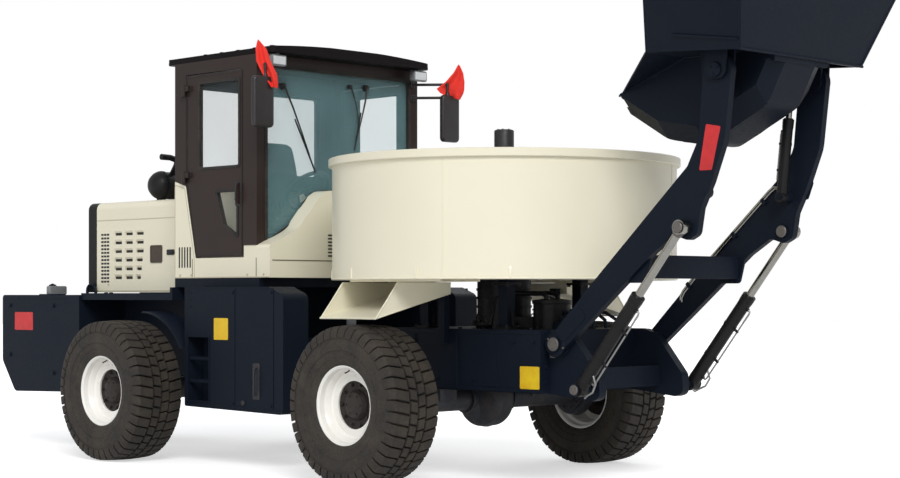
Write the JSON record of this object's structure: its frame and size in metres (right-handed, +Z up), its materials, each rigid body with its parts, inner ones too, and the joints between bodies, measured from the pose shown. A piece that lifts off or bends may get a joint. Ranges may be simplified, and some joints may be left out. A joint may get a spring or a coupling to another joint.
{
  "type": "self-loading concrete mixer",
  "caption": "Articulated self-loading concrete mixer with a flat round mixing pan, paddle rotor, side discharge gates, and a spouted loading bucket on hydraulic lift arms.",
  "frame": {"origin": "on the ground under the middle of the bounding box", "axes": "+X forward, to the bucket; +Y to the operator's left; +Z up"},
  "size_m": [7.96, 2.819, 3.56],
  "materials": {
    "cream_paint": "semi-gloss",
    "navy_paint": "semi-gloss",
    "cab_paint": "semi-gloss",
    "black_paint": "satin",
    "pan_steel": "satin",
    "rotor_steel": "worn",
    "cylinder_paint": "satin",
    "rod_chrome": "polished",
    "tyre_rubber": "matt",
    "rim_paint": "semi-gloss",
    "engine_iron": "rough",
    "axle_iron": "painted",
    "cab_glass": "clear",
    "seat_vinyl": "matt",
    "dark_plastic": "matt",
    "lamp_plastic": "gloss"
  },
  "bodies": {
    "rear_frame": {"rear_chassis": "navy_paint", "rear_axle": "axle_iron", "counterweight": "navy_paint", "engine": "engine_iron", "cab_tub": "cream_paint", "cab_frame": "cab_paint", "cab_nose": "cream_paint", "cab_roof": "cab_paint", "cab_glass": "cab_glass", "seat": "seat_vinyl", "console": "dark_plastic", "mirrors": "dark_plastic", "lamps": "lamp_plastic", "side_tanks": "navy_paint"},
    "front_frame": {"front_chassis": "navy_paint", "front_axle": "axle_iron", "mixing_pan": "pan_steel", "mixer_drive": "black_paint", "chutes": "cream_paint"},
    "rotor": {"mixer_rotor": "rotor_steel"},
    "boom": {"boom": "navy_paint"},
    "bucket": {"bucket": "navy_paint"},
    "lift_barrels": {"lift_barrels": "cylinder_paint"},
    "lift_rods": {"lift_rods": "rod_chrome"},
    "tilt_barrels": {"tilt_barrels": "cylinder_paint"},
    "tilt_rods": {"tilt_rods": "rod_chrome"},
    "hood": {"hood": "cream_paint", "hood_grille": "black_paint", "air_cleaner": "black_paint"},
    "gate_right": {"gate_right": "rotor_steel"},
    "gate_left": {"gate_left": "rotor_steel"},
    "door_right": {"door_right": "cab_paint", "door_glass_right": "cab_glass"},
    "door_left": {"door_left": "cab_paint", "door_glass_left": "cab_glass"},
    "steer_barrel_right": {"steer_barrel_right": "cylinder_paint"},
    "steer_barrel_left": {"steer_barrel_left": "cylinder_paint"},
    "steer_rod_right": {"steer_rod_right": "rod_chrome"},
    "steer_rod_left": {"steer_rod_left": "rod_chrome"},
    "wheel_front_right": {"tyre_front_right": "tyre_rubber", "rim_front_right": "rim_paint"},
    "wheel_front_left": {"tyre_front_left": "tyre_rubber", "rim_front_left": "rim_paint"},
    "wheel_rear_right": {"tyre_rear_right": "tyre_rubber", "rim_rear_right": "rim_paint"},
    "wheel_rear_left": {"tyre_rear_left": "tyre_rubber", "rim_rear_left": "rim_paint"}
  },
  "joints": [
    {"name": "articulation", "type": "hinge", "parent": "rear_frame", "child": "front_frame", "pos_m": [-0.352, 0, 0.905], "axis": [0, 0, 1], "range_deg": [-35, 35]},
    {"name": "front_right_wheel", "type": "hinge", "parent": "front_frame", "child": "wheel_front_right", "pos_m": [1.03, -1.194, 0.5375], "axis": [0, 1, 0], "continuous": true},
    {"name": "front_left_wheel", "type": "hinge", "parent": "front_frame", "child": "wheel_front_left", "pos_m": [1.03, 1.194, 0.5375], "axis": [0, 1, 0], "continuous": true},
    {"name": "rear_right_wheel", "type": "hinge", "parent": "rear_frame", "child": "wheel_rear_right", "pos_m": [-1.734, -1.194, 0.5375], "axis": [0, 1, 0], "continuous": true},
    {"name": "rear_left_wheel", "type": "hinge", "parent": "rear_frame", "child": "wheel_rear_left", "pos_m": [-1.734, 1.194, 0.5375], "axis": [0, 1, 0], "continuous": true},
    {"name": "rotor_spin", "type": "hinge", "parent": "front_frame", "child": "rotor", "pos_m": [1.207, 0, 1.72], "axis": [0, 0, 1], "continuous": true},
    {"name": "boom_lift", "type": "hinge", "parent": "front_frame", "child": "boom", "pos_m": [2.156, 0, 0.95], "axis": [0, -1, 0], "range_deg": [-70, 14]},
    {"name": "bucket_tilt", "type": "hinge", "parent": "boom", "child": "bucket", "pos_m": [3.466, 0, 2.632], "axis": [0, -1, 0], "range_deg": [-50, 10]},
    {"name": "lift_barrel_swing", "type": "hinge", "parent": "front_frame", "child": "lift_barrels", "pos_m": [2.418, 0, 0.665], "axis": [0, -1, 0], "range_deg": [-80, 17]},
    {"name": "lift_rod_slide", "type": "slide", "parent": "lift_barrels", "child": "lift_rods", "axis": [0.6256, 0, 0.7801], "range_m": [-0.42, 0.1]},
    {"name": "tilt_barrel_swing", "type": "hinge", "parent": "boom", "child": "tilt_barrels", "pos_m": [3.285, 0, 1.905], "axis": [0, -1, 0], "range_deg": [-2, 4]},
    {"name": "tilt_rod_slide", "type": "slide", "parent": "tilt_barrels", "child": "tilt_rods", "axis": [0.1063, 0, 0.9943], "range_m": [-0.04, 0.12]},
    {"name": "steer_barrel_swing_right", "type": "hinge", "parent": "rear_frame", "child": "steer_barrel_right", "pos_m": [-0.902, -0.3, 0.72], "axis": [0, 0, 1], "range_deg": [-20, 20]},
    {"name": "steer_rod_slide_right", "type": "slide", "parent": "steer_barrel_right", "child": "steer_rod_right", "axis": [1, 0, 0], "range_m": [-0.2, 0.2]},
    {"name": "steer_barrel_swing_left", "type": "hinge", "parent": "rear_frame", "child": "steer_barrel_left", "pos_m": [-0.902, 0.3, 0.72], "axis": [0, 0, 1], "range_deg": [-20, 20]},
    {"name": "steer_rod_slide_left", "type": "slide", "parent": "steer_barrel_left", "child": "steer_rod_left", "axis": [1, 0, 0], "range_m": [-0.2, 0.2]},
    {"name": "door_right_hinge", "type": "hinge", "parent": "rear_frame", "child": "door_right", "pos_m": [-1.381, -0.85, 2.232], "axis": [0, 0, -1], "range_deg": [0, 75]},
    {"name": "door_left_hinge", "type": "hinge", "parent": "rear_frame", "child": "door_left", "pos_m": [-1.381, 0.85, 2.232], "axis": [0, 0, 1], "range_deg": [0, 75]},
    {"name": "gate_right_slide", "type": "slide", "parent": "front_frame", "child": "gate_right", "axis": [1, 0, 0], "range_m": [0, 0.43]},
    {"name": "gate_left_slide", "type": "slide", "parent": "front_frame", "child": "gate_left", "axis": [1, 0, 0], "range_m": [0, 0.43]},
    {"name": "hood_hinge", "type": "hinge", "parent": "rear_frame", "child": "hood", "pos_m": [-2.99, 0, 1.32], "axis": [0, -1, 0], "range_deg": [0, 50]}
  ],
  "couplings": [
    {"joint": "lift_barrel_swing", "follows": "boom_lift", "ratio": 1.12},
    {"joint": "lift_rod_slide", "follows": "boom_lift", "m_per_rad": 0.331},
    {"joint": "tilt_barrel_swing", "follows": "bucket_tilt", "ratio": -0.055},
    {"joint": "tilt_rod_slide", "follows": "bucket_tilt", "m_per_rad": -0.12},
    {"joint": "steer_barrel_swing_right", "follows": "articulation", "ratio": 0.53},
    {"joint": "steer_rod_slide_right", "follows": "articulation", "m_per_rad": 0.2955},
    {"joint": "steer_barrel_swing_left", "follows": "articulation", "ratio": 0.53},
    {"joint": "steer_rod_slide_left", "follows": "articulation", "m_per_rad": -0.2955}
  ]
}
